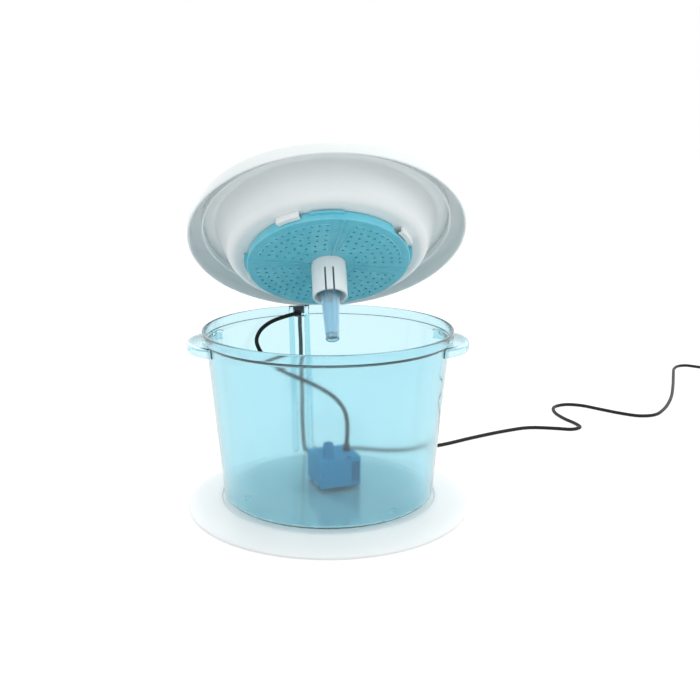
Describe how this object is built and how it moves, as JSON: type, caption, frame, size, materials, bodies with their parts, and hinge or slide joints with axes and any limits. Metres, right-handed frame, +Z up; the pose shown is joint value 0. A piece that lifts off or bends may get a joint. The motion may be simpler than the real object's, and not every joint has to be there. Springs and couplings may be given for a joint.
{
  "type": "pet water fountain",
  "caption": "Pet water fountain: clear tank on a white base plate, submerged pump with power cord, and a lift-off drinking dish carrying a filter tray and feed pipe",
  "frame": {"origin": "middle of the base plate on the table", "axes": "+Z up, -Y to the front, +X to the right; the cord leaves at the rear and runs to +X"},
  "size_m": [0.939, 0.8185, 0.3838],
  "materials": {
    "white_plastic": "smooth white",
    "clear_turquoise": "clear, pale turquoise",
    "clear_blue": "clear, light blue",
    "pump_plastic": "dark, fine grain",
    "pad_rubber": "matt",
    "cup_rubber": "matt",
    "sponge": "open-cell foam",
    "carbon_felt": "felt",
    "ferrite": "moulded ferrite",
    "ceramic": "polished ceramic",
    "core_steel": "stacked sheet",
    "winding": "enamelled wire",
    "cord_jacket": "satin",
    "tie_plastic": "satin",
    "pin_metal": "plated"
  },
  "bodies": {
    "base": {"base_plate": "white_plastic", "base_pads": "pad_rubber"},
    "tank": {"tank": "clear_turquoise", "pump_body": "pump_plastic", "stator_core": "core_steel", "stator_coil": "winding", "potting_cap": "pump_plastic", "suction_cups": "cup_rubber", "cord_gland": "cord_jacket", "rotor_shaft": "ceramic", "rear_bush": "pad_rubber", "cord_run": "cord_jacket", "cord_coil": "cord_jacket", "coil_tie": "tie_plastic", "cord_tail": "cord_jacket", "plug_body": "cord_jacket", "plug_pins": "pin_metal"},
    "cover": {"pump_cover": "pump_plastic", "cover_seal": "pad_rubber", "front_bush": "pad_rubber"},
    "slider": {"flow_slider": "pump_plastic"},
    "rotor": {"impeller": "white_plastic", "rotor_magnet": "ferrite"},
    "lid": {"lid_dish": "white_plastic"},
    "cap": {"bubble_cap": "white_plastic"},
    "sponge": {"filter_sponge": "sponge"},
    "tray": {"filter_tray": "clear_blue", "carbon_pad": "carbon_felt"},
    "pipe": {"feed_pipe": "clear_blue", "pipe_seal": "pad_rubber"}
  },
  "joints": [
    {"name": "tank_lift", "type": "slide", "parent": "base", "child": "tank", "axis": [0, 0, 1], "range_m": [0, 0.04]},
    {"name": "lid_tilt", "type": "hinge", "parent": "tank", "child": "lid", "pos_m": [0, 0.1493, 0.2006], "axis": [-0.9978, -0.0658, 0.011], "range_deg": [-39.2, 15]},
    {"name": "cap_lift", "type": "slide", "parent": "lid", "child": "cap", "axis": [-0.0441, 0.6305, 0.775], "range_m": [0, 0.03]},
    {"name": "tray_turn", "type": "hinge", "parent": "lid", "child": "sponge", "pos_m": [-0.00041, 0.02255, 0.28137], "axis": [-0.0441, 0.6305, 0.775], "range_deg": [-26, 0]},
    {"name": "tray_drop", "type": "slide", "parent": "sponge", "child": "tray", "axis": [0.0441, -0.6305, -0.775], "range_m": [0, 0.04]},
    {"name": "pipe_slide", "type": "slide", "parent": "lid", "child": "pipe", "axis": [0.0441, -0.6305, -0.775], "range_m": [0, 0.05]},
    {"name": "impeller_spin", "type": "hinge", "parent": "tank", "child": "rotor", "pos_m": [0.0109, 0.00397, 0.0341], "axis": [-0.342, 0.9397, 0], "continuous": true},
    {"name": "cover_pull", "type": "slide", "parent": "tank", "child": "cover", "axis": [0.342, -0.9397, 0], "range_m": [0, 0.02]},
    {"name": "flow_slide", "type": "slide", "parent": "cover", "child": "slider", "axis": [0.9397, 0.342, 0], "range_m": [-0.003, 0.003]}
  ]
}
